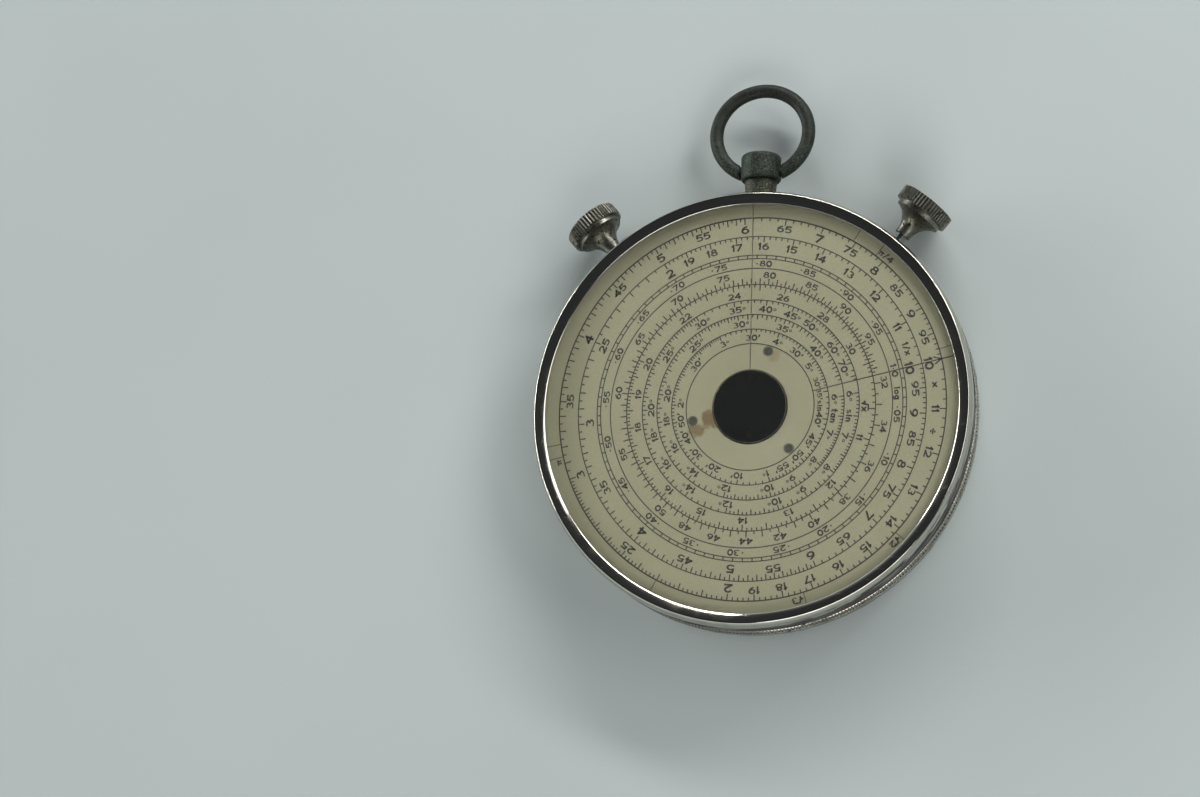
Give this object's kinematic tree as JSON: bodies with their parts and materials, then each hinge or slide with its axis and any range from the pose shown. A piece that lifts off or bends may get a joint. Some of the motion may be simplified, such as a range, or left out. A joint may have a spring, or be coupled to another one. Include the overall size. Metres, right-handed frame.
{
  "type": "circular slide rule",
  "caption": "Round glazed circular slide rule in a pocket-watch style metal case, with a turning printed dial, a hairline cursor, knurled side knobs, a pendant and a swinging bow.",
  "frame": {"origin": "centre of the flat back", "axes": "+Z out of the dial towards the reader, +Y towards the pendant and bow, +X to the reader's right"},
  "size_m": [0.067, 0.0866, 0.0119],
  "materials": {
    "bezel_nickel": "polished nickel, worn and spotted",
    "case_nickel": "dull nickel plate on brass, worn",
    "knob_nickel": "dull nickel plate, worn",
    "bush_brass": "tarnished",
    "pendant_brass": "darkly tarnished, with verdigris",
    "brass": "satin",
    "steel": "satin",
    "plate_metal": "satin",
    "rivet_metal": "dull",
    "card": "matt, printed, aged cream",
    "celluloid": "clear, slightly yellowed",
    "glass": "clear",
    "black_enamel": "semi-gloss",
    "line_ink": "matt"
  },
  "bodies": {
    "case": {"case_band": "case_nickel", "back_cover": "case_nickel", "front_bezel": "bezel_nickel", "front_glass": "glass", "glass_ring": "brass", "datum_line": "line_ink", "base_plate": "brass", "plate_screws": "steel", "centre_bearing": "brass", "stem_cock": "brass", "dial_stem_bush": "bush_brass", "cursor_stem_bush": "bush_brass", "pendant_neck": "pendant_brass", "pendant_barrel": "pendant_brass"},
    "dial": {"dial_card": "card", "dial_plate": "plate_metal", "dial_wheel": "brass", "dial_pipe": "brass", "dial_rivets": "rivet_metal"},
    "cursor": {"cursor_disc": "celluloid", "cursor_hairline": "line_ink", "cursor_screws": "rivet_metal", "centre_disc": "black_enamel", "cursor_arbor": "steel", "cursor_wheel": "brass"},
    "dial_knob": {"dial_knob": "knob_nickel", "dial_stem": "steel", "dial_pinion": "steel"},
    "cursor_knob": {"cursor_knob": "knob_nickel", "cursor_stem": "steel", "cursor_pinion": "steel"},
    "bow": {"bow": "pendant_brass"}
  },
  "joints": [
    {"name": "dial_turn", "type": "hinge", "parent": "case", "child": "dial", "pos_m": [0, 0, 0.009], "axis": [0, 0, 1], "continuous": true},
    {"name": "cursor_turn", "type": "hinge", "parent": "case", "child": "cursor", "pos_m": [0, 0, 0.0095], "axis": [0, 0, 1], "continuous": true},
    {"name": "dial_knob_turn", "type": "hinge", "parent": "case", "child": "dial_knob", "pos_m": [0.02412, 0.03001, 0.0051], "axis": [0.6266, 0.7793, 0], "continuous": true},
    {"name": "cursor_knob_turn", "type": "hinge", "parent": "case", "child": "cursor_knob", "pos_m": [-0.025, 0.02928, 0.0051], "axis": [-0.6494, 0.7604, 0], "continuous": true},
    {"name": "bow_swing", "type": "hinge", "parent": "case", "child": "bow", "pos_m": [0, 0.0384, 0.0051], "axis": [1, 0, 0], "range_deg": [-85, 95]}
  ],
  "couplings": [
    {"joint": "dial_knob_turn", "follows": "dial_turn", "ratio": -12},
    {"joint": "cursor_knob_turn", "follows": "cursor_turn", "ratio": 12.5}
  ]
}
